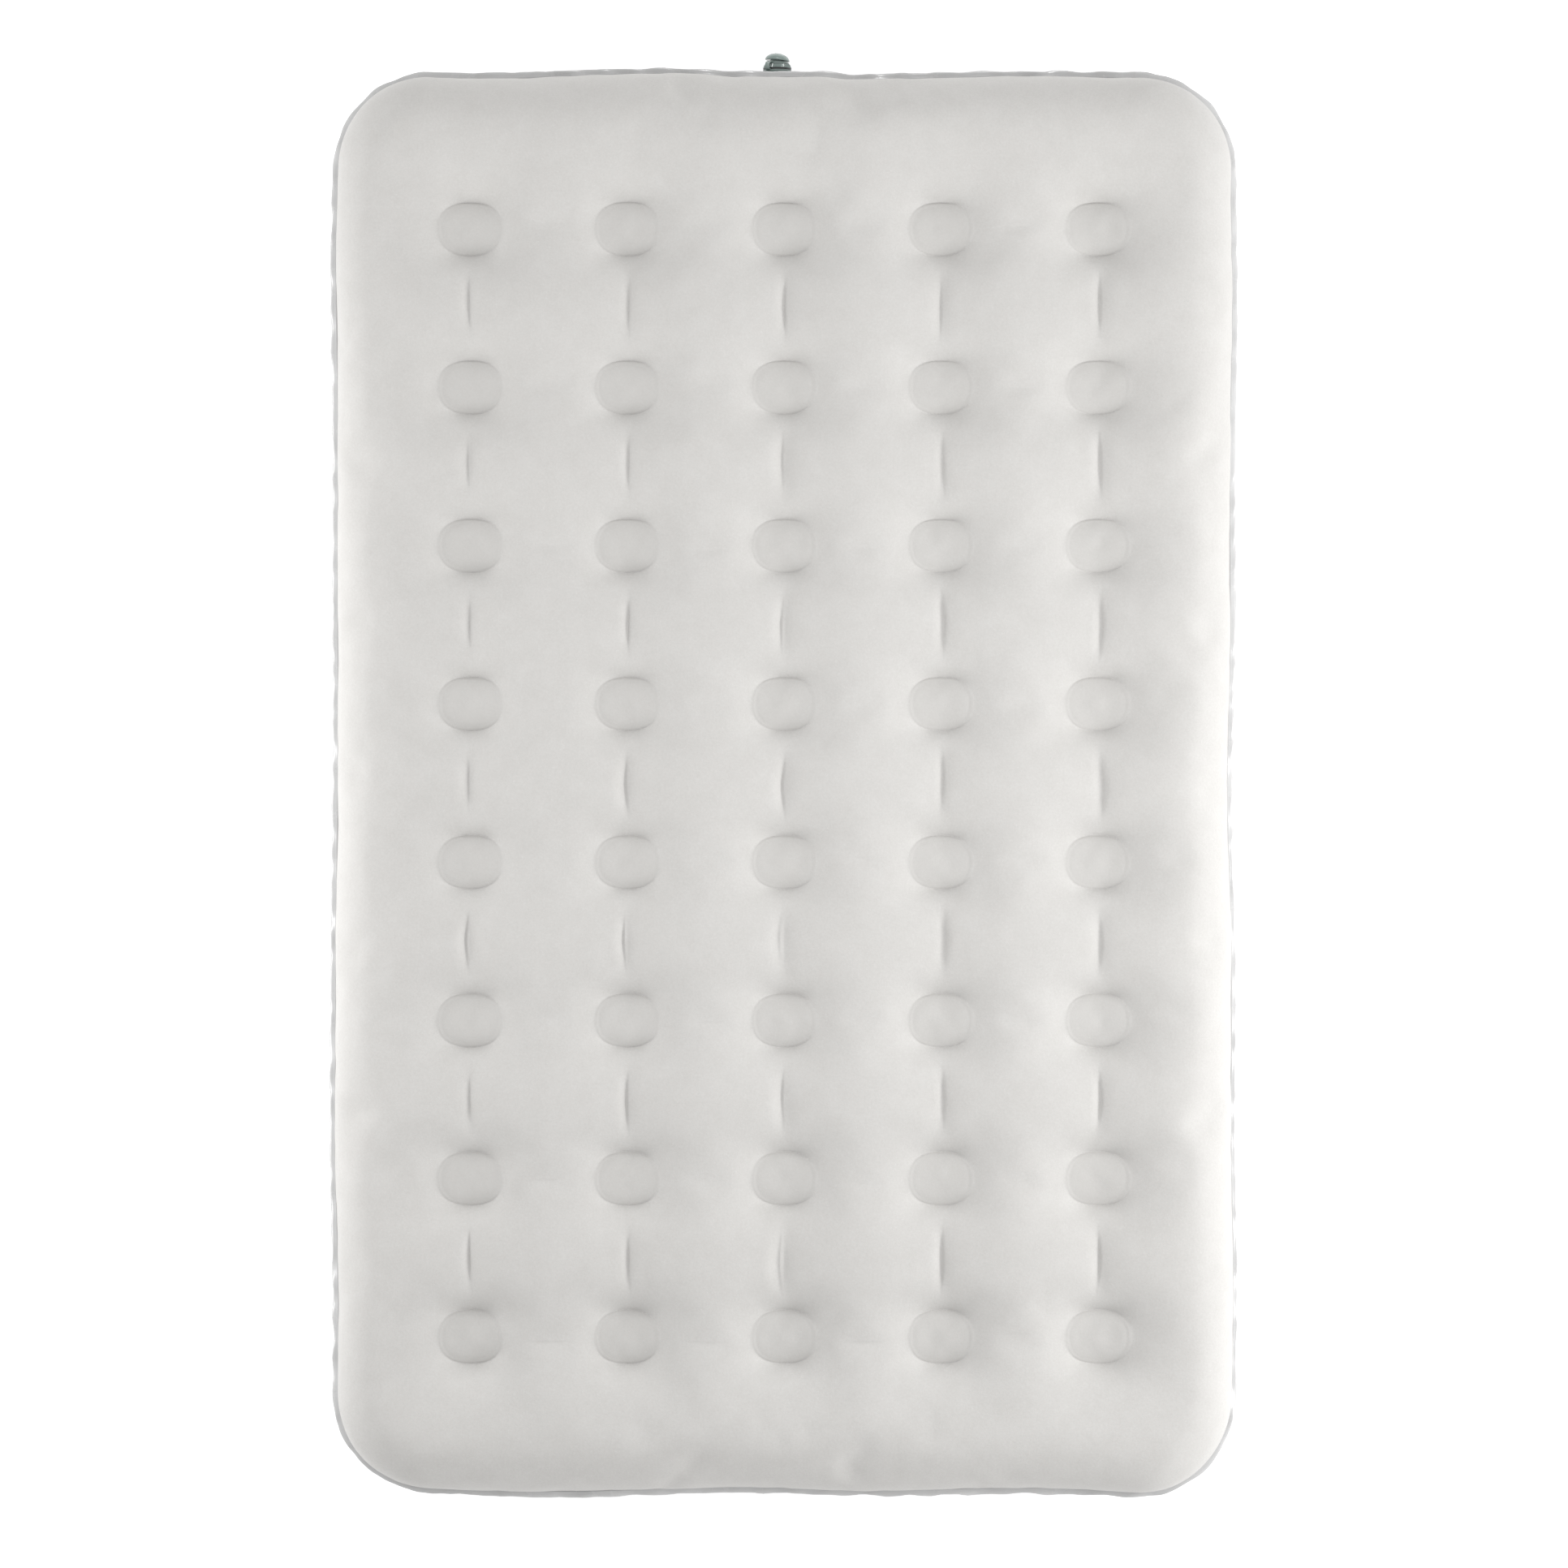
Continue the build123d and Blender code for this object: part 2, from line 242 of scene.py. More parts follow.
def wrinkle_list():
    """One upright wrinkle in each gap of a column, bowed outwards, and a few faint level ones in the rows."""
    random = np.random.default_rng(SEED)
    found = []
    for column in range(-(COLUMNS // 2), COLUMNS // 2 + 1):
        side = 1 if column > 0 else -1
        for gap in range(-(ROWS // 2) + 1, ROWS // 2):
            most_bend = 0.0095 if gap < 2 else 0.0030
            found.append({
                "x": column * PITCH_X + random.uniform(-0.004, 0.004),
                "y": gap * PITCH_Y + random.uniform(-0.006, 0.006),
                "half": random.uniform(0.040, 0.049),
                "bend": side * random.uniform(0.0005, most_bend),
                "lean": random.uniform(-0.04, 0.04),
                "depth": random.uniform(0.0018, 0.0030),
                "width": random.uniform(0.0028, 0.0038),
                "level": False,
            })
    for column in range(-(COLUMNS // 2), COLUMNS // 2):
        for row in range(-(ROWS // 2), ROWS // 2):
            if random.random() < 0.55:
                found.append({
                    "x": (row + 0.5) * PITCH_Y + random.uniform(-0.006, 0.006),
                    "y": (column + 0.5) * PITCH_X + random.uniform(-0.008, 0.008),
                    "half": random.uniform(0.022, 0.036),
                    "bend": random.uniform(-0.003, 0.003),
                    "lean": random.uniform(-0.06, 0.06),
                    "depth": random.uniform(0.0003, 0.0009),
                    "width": random.uniform(0.0022, 0.0034),
                    "level": True,
                })
    return found


def wrinkle_drop(x, y):
    """Narrow lens-shaped creases: a gentle slope with a small lip on the left, a steep one on the right."""
    total = np.zeros_like(x)
    for w in wrinkle_list():
        across, along = (y, x) if w["level"] else (x, y)
        t = (along - w["y"]) / w["half"]
        envelope = np.where(np.abs(t) < 1, np.cos(np.clip(t, -1, 1) * pi / 2) ** 1.5, 0)
        path = w["x"] + w["bend"] * (1 - np.sqrt(t**2 + 0.02)) + w["lean"] * (along - w["y"])
        gap = across - path
        slope_width = np.where(gap < 0, GENTLE_SLOPE, STEEP_SLOPE) * w["width"]
        groove = np.exp(-((gap / slope_width) ** 2))
        lip = LIP_SHARE * np.exp(-(((gap + LIP_PLACE * w["width"]) / (LIP_WIDTH * w["width"])) ** 2))
        total += w["depth"] * envelope * (groove - lip)
    return total


# ---- the weld rings ----
RING_GROOVE = 0.0009
BASE_RING_GROOVE = 0.0006
GROOVE_WIDTH = 0.0013
WELD_WIDTH = 0.0050  # from the ring's groove in to its inner edge
INNER_EDGE_WIDTH = 0.0011
INNER_EDGE_SHARE = 0.55


def ring_detail(x, y, groove_depth):
    """Pinched weld line round each island, deepest along its two long sides, and the weld's inner edge."""
    dx, dy, _, _ = nearest_island(x, y)
    radius = oval_radius(dx, dy)
    across = (radius - 1) * (ISLAND_X + ISLAND_Y) / 2
    long_side = np.clip(np.abs(dy) / ISLAND_Y, 0, 1) ** 3
    groove = groove_depth * long_side * np.exp(-((across / GROOVE_WIDTH) ** 2))
    inner_edge = np.exp(-(((across + WELD_WIDTH) / INNER_EDGE_WIDTH) ** 2))
    inner_edge = INNER_EDGE_SHARE * groove_depth * (1 - long_side) * inner_edge
    return np.where(radius < 1.6, groove + inner_edge, 0)


# ---- meshes ----
def new_mesh(name, points, faces):
    """Smooth-shaded object in the scene, with the outline's unevenness added to its points."""
    points = points.reshape(-1, 3).copy()
    shift_x, shift_y = uneven(points[:, 0], points[:, 1])
    points[:, 0] += shift_x
    points[:, 1] += shift_y
    mesh = bpy.data.meshes.new(name)
    mesh.from_pydata(points.tolist(), [], [list(face) for face in faces])
    mesh.validate()
    mesh.polygons.foreach_set("use_smooth", [True] * len(mesh.polygons))
    piece = bpy.data.objects.new(name, mesh)
    bpy.context.scene.collection.objects.link(piece)
    return piece


def grid_faces(rows, columns, flip=False):
    """Quads of a grid of points, facing up unless flipped."""
    index = np.arange(rows * columns).reshape(rows, columns)
    quads = [index[:-1, :-1], index[1:, :-1], index[1:, 1:], index[:-1, 1:]]
    if flip:
        quads.reverse()
    return np.stack(quads, -1).reshape(-1, 4)


# Grid lines from an island's centre, 0, to the edge of its tile, 1. The weld ring is one of them.
RING_LEVEL = 0.43
TILE_LEVELS = [0.0, 0.010, 0.021, 0.032, 0.044, 0.057, 0.072, 0.092, 0.12, 0.17, 0.23, 0.29, 0.335, 0.365,
               0.382, 0.398, 0.411, 0.421, RING_LEVEL, 0.439, 0.450, 0.467, 0.49, 0.52, 0.56, 0.61, 0.67,
               0.74, 0.82, 0.91, 1.0]
MARGIN_STEP = 0.0085


def axis_lines(tiles, half_pitch, half_size):
    """Grid lines along one axis, gathered at the weld rings and the wrinkles and even in the margin."""
    levels = np.array(TILE_LEVELS)
    tile = np.concatenate([-levels[:0:-1], levels])
    centres = (np.arange(tiles) - (tiles - 1) / 2) * 2
    inside = np.concatenate([tile[:-1] + c for c in centres] + [[centres[-1] + 1]]) * half_pitch
    end = tiles * half_pitch
    steps = int(np.ceil((half_size - end) / MARGIN_STEP))
    margin = np.linspace(end, half_size, steps + 1)[1:]
    return np.concatenate([-margin[::-1], inside, margin])


def gather_round_islands(u, v):
    """Bends the square grid so that its lines follow each oval weld ring."""
    du, dv, column, row = nearest_island(u, v)
    p = du / (PITCH_X / 2)
    q = dv / (PITCH_Y / 2)
    level = np.maximum(np.abs(p), np.abs(q))
    middle = level < 1e-9
    safe = np.where(middle, 1, level)
    a = np.where(middle, 1, p / safe)
    b = q / safe
    cx = a * np.sqrt(1 - b * b / 2)
    cy = b * np.sqrt(1 - a * a / 2)
    bulge = (np.abs(cx) ** OVAL_POWER + np.abs(cy) ** OVAL_POWER) ** (-1 / OVAL_POWER)
    oval_x = ISLAND_X * cx * bulge
    oval_y = ISLAND_Y * cy * bulge
    t = np.clip((level - RING_LEVEL) / (1 - RING_LEVEL), 0, 1)
    inner = np.minimum(level / RING_LEVEL, 1)
    x = oval_x * inner * (1 - t) + a * PITCH_X / 2 * t
    y = oval_y * inner * (1 - t) + b * PITCH_Y / 2 * t
    in_tile = level <= 1
    return np.where(in_tile, u - du + x, u), np.where(in_tile, v - dv + y, v)


def sheet_grid(skin):
    """Square-cornered coordinates of a whole sheet's grid, bent round its islands."""
    u_lines = axis_lines(COLUMNS, PITCH_X / 2, skin.half_width)
    v_lines = axis_lines(ROWS, PITCH_Y / 2, skin.half_length)
    u, v = np.meshgrid(u_lines, v_lines, indexing="ij")
    return gather_round_islands(u, v)


# ---- top sheet ----
TOP_DISHES = {"bowl": 0.0330, "valley": 0.0170, "cross_valley": 0.0065, "bowl_width": 0.026,
              "saddle": (0.0045, 0.0078)}
LOFT = 0.005
SLOW_WAVE_HEIGHT = 0.00045
FAST_WAVE_HEIGHT = 0.00012
SIM_STEP = 0.0125
SIM_FRAMES = 16
MOST_MOTION = 0.012


def top_drop(x, y, away):
    """Depth below the plain inflated outline: the field between the islands stands a little proud of it."""
    proud = LOFT * smooth((away - 0.06) / 0.06)
    return broad_drop(x, y, **TOP_DISHES) - proud


def inflate(skin):
    """Coarse cloth under pressure, held at the seam and the weld rings. Gives its grid and its motion."""
    nu = int(round(2 * skin.half_width / SIM_STEP)) + 1
    nv = int(round(2 * skin.half_length / SIM_STEP)) + 1
    u, v = np.meshgrid(
        np.linspace(-skin.half_width, skin.half_width, nu),
        np.linspace(-skin.half_length, skin.half_length, nv),
        indexing="ij",
    )
    x, y = skin.round_corners(u, v)
    points, normals, away = skin.wrap(x, y)
    points = points - normals * top_drop(x, y, away)[..., None]
    dx, dy, _, _ = nearest_island(x, y)
    held = np.abs(oval_radius(dx, dy) - 1) * ISLAND_X < 0.75 * SIM_STEP
    held[0] = held[-1] = True
    held[:, 0] = held[:, -1] = True
    piece = new_mesh("cloth_pass", points, grid_faces(nu, nv))
    group = piece.vertex_groups.new(name="held")
    group.add(np.flatnonzero(held).tolist(), 1.0, "REPLACE")
    cloth = piece.modifiers.new("cloth", "CLOTH")
    settings = cloth.settings
    settings.vertex_group_mass = "held"
    settings.mass = 0.3
    settings.tension_stiffness = 40
    settings.compression_stiffness = 20
    settings.shear_stiffness = 10
    settings.bending_stiffness = 4
    settings.air_damping = 1
    settings.shrink_min = settings.shrink_max = -0.004
    settings.use_pressure = True
    settings.uniform_pressure_force = 3
    settings.effector_weights.gravity = 0
    cloth.point_cache.frame_start = 1
    cloth.point_cache.frame_end = SIM_FRAMES
    scene = bpy.context.scene
    for step in range(1, SIM_FRAMES + 1):
        scene.frame_set(step)
    evaluated = piece.evaluated_get(bpy.context.evaluated_depsgraph_get())
    start = np.empty(nu * nv * 3, dtype=np.float32)
    moved = np.empty(nu * nv * 3, dtype=np.float32)
    piece.data.vertices.foreach_get("co", start)
    evaluated.data.vertices.foreach_get("co", moved)
    scene.frame_set(1)
    mesh = piece.data
    bpy.data.objects.remove(piece)
    bpy.data.meshes.remove(mesh)
    return (moved - start).reshape(nu, nv, 3).astype(float)


def spline_sample(field, s, t):
    """Smooth cubic B-spline reading of a grid at fractional places."""
    rows, columns = field.shape[:2]
    i = np.clip(np.floor(s).astype(int), 0, rows - 2)
    j = np.clip(np.floor(t).astype(int), 0, columns - 2)
    total = np.zeros(s.shape + field.shape[2:])
    for di, wi in enumerate(cubic_weights(s - i)):
        for dj, wj in enumerate(cubic_weights(t - j)):
            ii = np.clip(i + di - 1, 0, rows - 1)
            jj = np.clip(j + dj - 1, 0, columns - 1)
            total += (wi * wj)[..., None] * field[ii, jj]
    return total


def cubic_weights(t):
    """Shares of the four grid values round a place that is t of the way from the second to the third."""
    return [
        (1 - t) ** 3 / 6,
        (3 * t**3 - 6 * t**2 + 4) / 6,
        (-3 * t**3 + 3 * t**2 + 3 * t + 1) / 6,
        t**3 / 6,
    ]


def top_sheet():
    """Flocked top: dished, wrinkled, and settled by the cloth pass."""
    u, v = sheet_grid(TOP)
    x, y = TOP.round_corners(u, v)
    points, normals, away = TOP.wrap(x, y)
    drop = top_drop(x, y, away) + wrinkle_drop(x, y) + ring_detail(x, y, RING_GROOVE)
    slow = Waves(SEED + 1, 10, 0.12, 0.45)
    fast = Waves(SEED + 2, 14, 0.03, 0.09)
    drop += SLOW_WAVE_HEIGHT * slow(x, y) + FAST_WAVE_HEIGHT * fast(x, y)
    points = points - normals * drop[..., None]
    motion = inflate(TOP)
    nu, nv = motion.shape[:2]
    s = (u + TOP.half_width) / (2 * TOP.half_width) * (nu - 1)
    t = (v + TOP.half_length) / (2 * TOP.half_length) * (nv - 1)
    points = points + np.clip(spline_sample(motion, s, t), -MOST_MOTION, MOST_MOTION)
    piece = new_mesh("sleeping_surface", points, grid_faces(*u.shape))
    mark_pressed_and_painted_shade(piece, x, y, away)
    add_thickness(piece)
    return piece


def mark_pressed_and_painted_shade(piece, x, y, away):
    """Marks the dished islands and a strip beside the seam, where welding flattens the flock, as a mask for
    painted shade in these recesses and on the seam's steep shoulder.
    """
    dx, dy, _, _ = nearest_island(x, y)
    island = smooth((1.03 - oval_radius(dx, dy)) / 0.08)
    seam = smooth(1 - away / 0.006)
    # painted shade mask: 1 on the recessed islands and beside the seam, where the flock is also welded flat
    mark = piece.data.attributes.new("pressed_and_painted_shade", "FLOAT", "POINT")
    mark.data.foreach_set("value", np.maximum(island, seam).ravel().astype(np.float32))


def add_thickness(piece):
    """Gives a sheet its thickness, inwards from the side that shows."""
    solid = piece.modifiers.new("thickness", "SOLIDIFY")
    solid.thickness = SHEET_THICKNESS
    solid.offset = -1


# ---- base sheet ----
BASE_DISHES = {"bowl": 0.010, "valley": 0.001, "cross_valley": 0.001, "bowl_width": 0.020,
               "saddle": (0.0, 0.001)}


def base_sheet():
    """Bottom sheet: shallow dishes at the same islands, and flat between them."""
    u, v = sheet_grid(BASE)
    x, y = BASE.round_corners(u, v)
    points, normals, away = BASE.wrap(x, y)
    drop = broad_drop(x, y, **BASE_DISHES) + ring_detail(x, y, BASE_RING_GROOVE)
    points = points - normals * drop[..., None]
    piece = new_mesh("floor_side", points, grid_faces(*u.shape, flip=True))
    add_thickness(piece)
    return piece


# ---- outline loops for the wall and the fins ----
OUTLINE_STEP = 0.006


def outline():
    """Points, outward directions and distances round the outline, anticlockwise from the right side."""
    flat_x = HALF_WIDTH - CORNER
    flat_y = HALF_LENGTH - CORNER
    points = []
    outs = []
    centres = [(flat_x, flat_y), (-flat_x, flat_y), (-flat_x, -flat_y), (flat_x, -flat_y)]
    turns = max(int(CORNER * pi / 2 / OUTLINE_STEP), 8)
    for k, (cx, cy) in enumerate(centres):
        for i in range(turns + 1):
            angle = pi / 2 * (k + i / turns)
            outs.append((cos(angle), sin(angle)))
            points.append((cx + CORNER * cos(angle), cy + CORNER * sin(angle)))
        ahead = centres[(k + 1) % 4]
        out = (cos(pi / 2 * (k + 1)), sin(pi / 2 * (k + 1)))
        start = np.array(points[-1])
        end = np.array([ahead[0] + CORNER * out[0], ahead[1] + CORNER * out[1]])
        steps = int(np.linalg.norm(end - start) / OUTLINE_STEP)
        for i in range(1, steps):
            points.append(tuple(start + (end - start) * i / steps))
            outs.append(out)
    points = np.array(points)
    outs = np.array(outs)
    gaps = np.linalg.norm(np.roll(points, -1, axis=0) - points, axis=1)
    along = np.concatenate([[0], np.cumsum(gaps)[:-1]])
    return points, outs, along


def swept_band(name, points, outs, reach, heights):
    """Closed band: reach and heights hold each section's points, one row for each outline point."""
    place = np.empty(reach.shape + (3,))
    place[..., :2] = points[:, None, :] + outs[:, None, :] * reach[..., None]
    place[..., 2] = heights
    count, section = reach.shape
    index = np.arange(count * section).reshape(count, section)
    ahead = np.roll(index, -1, axis=0)
    right = np.roll(index, -1, axis=1)
    ahead_right = np.roll(ahead, -1, axis=1)
    faces = np.stack([index, ahead, ahead_right, right], -1).reshape(-1, 4)
    return new_mesh(name, place, faces)


def along_waves(seed, along, shortest, longest, count=12):
    """Unevenness that closes on itself round the outline."""
    random = np.random.default_rng(seed)
    total_length = along[-1] + (along[-1] - along[-2])
    low = int(total_length / longest)
    high = int(total_length / shortest)
    total = np.zeros_like(along)
    for _ in range(count):
        turns = random.integers(low, high + 1)
        share = random.uniform(0.4, 1)
        phase = random.uniform(0, 2 * pi)
        total += share * np.sin(2 * pi * turns * along / total_length + phase)
    return total / np.abs(total).max()


# ---- weld fins ----
# Upper half of a fin's section: reach as a share of its width (in metres where it is negative) and height.
FIN_PROFILE = [(-0.0020, 0.00060), (0.05, 0.00060), (0.22, 0.00042), (0.34, 0.00030), (0.46, 0.00042),
               (0.62, 0.00060), (0.85, 0.00058), (0.97, 0.00045), (1.0, 0.00018)]
FIN_LIFT = 0.0022
FIN_FLUTTER = 0.0006
SIDE_DROOP = 0.0042  # how far the edge hangs along the two long sides
END_DROOP = 0.0012
UPPER_FIN_SEED = 11
LOWER_FIN_SEED = 21


def weld_fin(name, seam_z, reach, seed):
    """Welded lip: pressed weld line near the skin, then a loose wavy edge."""
    points, outs, along = outline()
    width_wave = along_waves(seed, along, 0.05, 0.25)
    lift_wave = along_waves(seed + 1, along, 0.035, 0.12, 24)
    flutter = along_waves(seed + 2, along, 0.02, 0.05, 24)
    width = reach * (0.84 + 0.18 * width_wave + 0.05 * flutter)
    lift = FIN_LIFT * lift_wave + FIN_FLUTTER * flutter
    section = FIN_PROFILE + [(r, -h) for r, h in reversed(FIN_PROFILE)]
    reach_rows = np.stack([np.where(r < 0, r, r * width) for r, _ in section], 1)
    lift_share = np.array([max(r, 0) ** 1.4 for r, _ in section])
    side_share = np.abs(outs[:, 0])
    droop = (SIDE_DROOP * side_share + END_DROOP * (1 - side_share)) * (0.7 + 0.3 * width_wave)
    half_thickness = np.array([h for _, h in section])
    heights = seam_z + half_thickness[None, :] + (lift - droop)[:, None] * lift_share[None, :]
    return swept_band(name, points, outs, reach_rows, heights)


# ---- side wall ----
WALL_ROWS = 14
WALL_BULGE = 0.0035
PUCKER_DEPTH = 0.0007
WALL_SEED = 31
VALVE_HOLE_RADIUS = 0.022


def side_wall():
    """Band between the fins: bulges a little, with shallow upright puckers next to them."""
    low = LOWER_FIN_HIGH[2]
    high = FIN_LOW[2]
    points, outs, along = outline()
    t = np.linspace(0, 1, WALL_ROWS + 1)
    bulge = WALL_BULGE * (1 - (2 * t - 1) ** 2)
    puckers = along_waves(WALL_SEED, along, 0.012, 0.05, 20)
    slow = along_waves(WALL_SEED + 1, along, 0.15, 0.5)
    near_fin = np.maximum(np.exp(-t / 0.12), np.exp(-(1 - t) / 0.12)) * np.minimum(t, 1 - t) / 0.06
    reach = bulge[None, :] * (1 + 0.25 * slow[:, None])
    reach = reach + PUCKER_DEPTH * puckers[:, None] * near_fin[None, :]
    reach = reach * (1 - near_valve(points[:, 0], points[:, 1]))[:, None]
    heights = np.broadcast_to(low + (high - low) * t, reach.shape)
    skin_reach = np.concatenate([reach, reach[:, ::-1] - SHEET_THICKNESS], 1)
    skin_heights = np.concatenate([heights, heights[:, ::-1]], 1)
    piece = swept_band("wall_band", points, outs, skin_reach, skin_heights)
    open_valve_hole(piece)
    return piece


def open_valve_hole(piece):
    """Round hole through both faces of the wall, hidden under the valve's flange."""
    mesh = bmesh.new()
    mesh.from_mesh(piece.data)
    in_hole = []
    for face in mesh.faces:
        middle = face.calc_center_median()
        if middle.y > 0 and np.hypot(middle.x - VALVE_X, middle.z - VALVE_Z) < VALVE_HOLE_RADIUS:
            in_hole.append(face)
    bmesh.ops.delete(mesh, geom=in_hole, context="FACES")
    rim = [edge for edge in mesh.edges if edge.is_boundary]
    for vertex in {v for edge in rim for v in edge.verts}:
        scale = VALVE_HOLE_RADIUS / np.hypot(vertex.co.x - VALVE_X, vertex.co.z - VALVE_Z)
        vertex.co.x = VALVE_X + (vertex.co.x - VALVE_X) * scale
        vertex.co.z = VALVE_Z + (vertex.co.z - VALVE_Z) * scale
    bmesh.ops.bridge_loops(mesh, edges=rim)
    mesh.to_mesh(piece.data)
    mesh.free()


# ---- valve's tether strap ----
STRAP_ANGLE = radians(35)  # from straight up, round the valve's axis
STRAP_WIDTH = 0.0066
STRAP_THICK = 0.0012
STRAP_STEPS = 48


def tether_strap():
    """Soft strap with a raised bead along each edge, looping from the ring under the rim to the cap's eye."""
    axis_x, ring_y, axis_z = middle_of("tether_ring")
    eye_y = middle_of("tether_eye")[1]
    ring_radius = half_size_of("tether_ring")[0]
    eye_radius = half_size_of("tether_eye")[0]
    rise = eye_y - ring_y
    # places the strap passes through: distance from the valve's axis, and y
    stations = np.array([
        (ring_radius - 0.0010, ring_y),
        (ring_radius + 0.0016, ring_y + 0.01 * rise),
        (ring_radius + 0.0036, ring_y + 0.12 * rise),
        (ring_radius + 0.0043, ring_y + 0.35 * rise),
        (ring_radius + 0.0040, ring_y + 0.60 * rise),
        (ring_radius + 0.0026, ring_y + 0.83 * rise),
        (ring_radius - 0.0004, ring_y + 0.97 * rise),
        (ring_radius - 0.0030, eye_y),
        (eye_radius - 0.0008, eye_y),
    ])
    places = np.linspace(0, len(stations) - 1, STRAP_STEPS + 1)
    path = np.stack([catmull(stations[:, k], places) for k in range(2)], 1)
    ahead = np.gradient(path, axis=0)
    ahead /= np.linalg.norm(ahead, axis=1, keepdims=True)
    side = np.stack([-ahead[:, 1], ahead[:, 0]], 1)
    across = np.array([-1, -0.97, -0.90, -0.80, -0.70, 0, 0.70, 0.80, 0.90, 0.97, 1]) * STRAP_WIDTH / 2
    half = np.array([0.30, 0.62, 0.78, 0.70, 0.44, 0.42, 0.44, 0.70, 0.78, 0.62, 0.30]) * STRAP_THICK
    section = [(a, h) for a, h in zip(across, half)] + [(a, -h) for a, h in zip(across[::-1], half[::-1])]
    out = np.array([-sin(STRAP_ANGLE), 0, cos(STRAP_ANGLE)])
    wide = np.array([cos(STRAP_ANGLE), 0, sin(STRAP_ANGLE)])
    outwards = np.array([0, 1, 0])
    points = np.empty((len(path), len(section), 3))
    for i, ((radius, y), (lean_r, lean_y)) in enumerate(zip(path, side)):
        for k, (a, h) in enumerate(section):
            points[i, k] = out * (radius + lean_r * h) + outwards * (y + lean_y * h) + wide * a
    points += np.array([axis_x, 0, axis_z])
    index = np.arange(points[..., 0].size).reshape(points.shape[:2])
    right = np.roll(index, -1, axis=1)
    faces = np.stack([index[:-1], index[1:], right[1:], right[:-1]], -1).reshape(-1, 4).tolist()
    faces += [index[0].tolist(), index[-1][::-1].tolist()]
    piece = new_mesh("strap_loop", points, faces)
    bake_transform(piece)
    return piece


def catmull(values, places):
    """Smooth curve through evenly numbered values."""
    i = np.clip(places.astype(int), 0, len(values) - 2)
    t = places - i
    before, here = values[np.maximum(i - 1, 0)], values[i]
    after, beyond = values[i + 1], values[np.minimum(i + 2, len(values) - 1)]
    return 0.5 * (2 * here + (after - before) * t + (2 * before - 5 * here + 4 * after - beyond) * t**2
                  + (3 * here - before - 3 * after + beyond) * t**3)


# ---- materials ----
class Shader:
    """A principled material with short ways to add procedural nodes."""

    def __init__(self, name):
        self.material = bpy.data.materials.new(name)
        self.material.use_nodes = True
        self.nodes = self.material.node_tree.nodes
        self.links = self.material.node_tree.links
        self.surface = self.nodes["Principled BSDF"]

    def set(self, **values):
        """Sets inputs of the surface. An underscore stands for a space in an input's name."""
        for key, value in values.items():
            self.surface.inputs[key.replace("_", " ")].default_value = value

    def node(self, kind, **values):
        made = self.nodes.new(kind)
        for key, value in values.items():
            made.inputs[key.replace("_", " ")].default_value = value
        return made

    def join(self, source, target):
        self.links.new(source, target)

    def place(self):
        """Object coordinates, from one node that all the textures share."""
        if not hasattr(self, "coordinates"):
            self.coordinates = self.nodes.new("ShaderNodeTexCoord")
        return self.coordinates.outputs["Object"]

    def noise(self, scale, detail=4.0, roughness=0.55, distortion=0.0):
        made = self.node("ShaderNodeTexNoise", Scale=scale, Detail=detail, Roughness=roughness,
                         Distortion=distortion)
        self.join(self.place(), made.inputs["Vector"])
        return made.outputs["Fac"]

    def ramp(self, factor, stops):
        """Colour ramp through stops of (position, colour)."""
        made = self.nodes.new("ShaderNodeValToRGB")
        elements = made.color_ramp.elements
        while len(elements) < len(stops):
            elements.new(0.5)
        for element, (position, colour) in zip(elements, stops):
            element.position = position
            element.color = (*colour, 1)
        self.join(factor, made.inputs["Fac"])
        return made.outputs["Color"]

    def spread(self, factor, low, high):
        """Stretches a factor from 0..1 to low..high."""
        made = self.nodes.new("ShaderNodeMapRange")
        made.inputs["To Min"].default_value = low
        made.inputs["To Max"].default_value = high
        self.join(factor, made.inputs["Value"])
        return made.outputs["Result"]

    def times(self, factor, amount):
        made = self.nodes.new("ShaderNodeMath")
        made.operation = "MULTIPLY"
        made.inputs[1].default_value = amount
        self.join(factor, made.inputs[0])
        return made.outputs[0]

    def attribute(self, name):
        made = self.nodes.new("ShaderNodeAttribute")
        made.attribute_name = name
        return made.outputs["Fac"]

    def mix(self, factor, first, second):
        """Blend of two colours. Each argument may be a socket or a plain value."""
        made = self.nodes.new("ShaderNodeMix")
        made.data_type = "RGBA"
        for source, name in ((factor, "Factor"), (first, "A"), (second, "B")):
            sockets = [s for s in made.inputs if s.name == name and (s.type == "RGBA" or name == "Factor")]
            if isinstance(source, (int, float)):
                sockets[0].default_value = source
            elif isinstance(source, tuple):
                sockets[0].default_value = (*source, 1)
            else:
                self.join(source, sockets[0])
        return [s for s in made.outputs if s.type == "RGBA"][0]

    def bump(self, height, strength, distance, below=None):
        """Bump on top of another bump, if one is given."""
        made = self.node("ShaderNodeBump", Strength=strength, Distance=distance)
        self.join(height, made.inputs["Height"])
        if below is not None:
            self.join(below, made.inputs["Normal"])
        return made.outputs["Normal"]


def tone(value, warmth=0.0):
    """Near-neutral grey in linear light, a little warm."""
    return (value * (1 + warmth), value, value * (1 - 1.6 * warmth))


